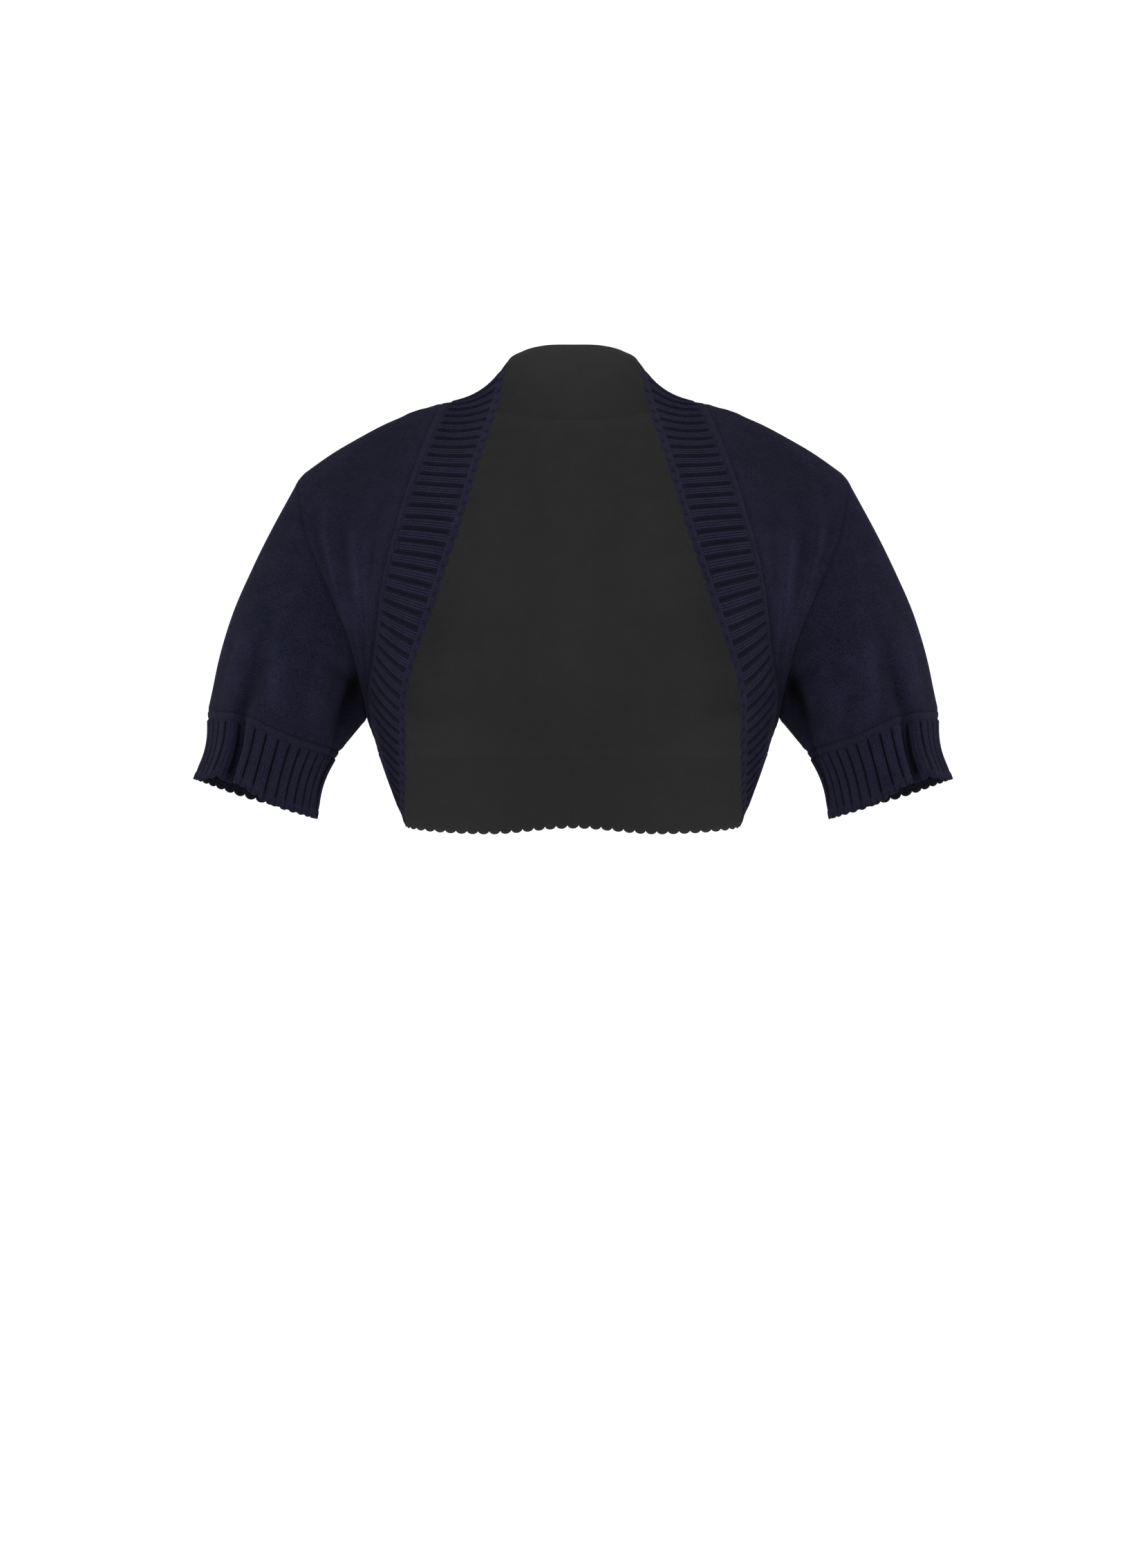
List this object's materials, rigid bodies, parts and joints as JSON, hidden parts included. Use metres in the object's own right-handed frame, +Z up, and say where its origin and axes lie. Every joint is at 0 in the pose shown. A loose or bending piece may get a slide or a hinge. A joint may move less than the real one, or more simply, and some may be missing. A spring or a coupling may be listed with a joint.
{
  "type": "knitted shrug",
  "caption": "Short-sleeved knitted shrug, open in front, with a ribbed and scalloped trim round its opening and on its cuffs.",
  "frame": {"origin": "middle of the neck's base, at the height of the shoulders' inner ends, where the wearer's shoulders hold the garment up", "axes": "+X towards the wearer's left, -Y out of the garment's front, +Z up"},
  "size_m": [0.5466, 0.2191, 0.3608],
  "materials": {
    "jersey": "matte navy knit",
    "ribbed_trim": "matte navy rib knit"
  },
  "bodies": {
    "root": {"back": "jersey", "front_left": "jersey", "front_right": "jersey", "sleeve_left": "jersey", "sleeve_right": "jersey", "cuff_left": "ribbed_trim", "cuff_right": "ribbed_trim", "neck_band": "ribbed_trim", "front_band_left": "ribbed_trim", "front_band_right": "ribbed_trim", "hem_band": "ribbed_trim"}
  },
  "joints": []
}
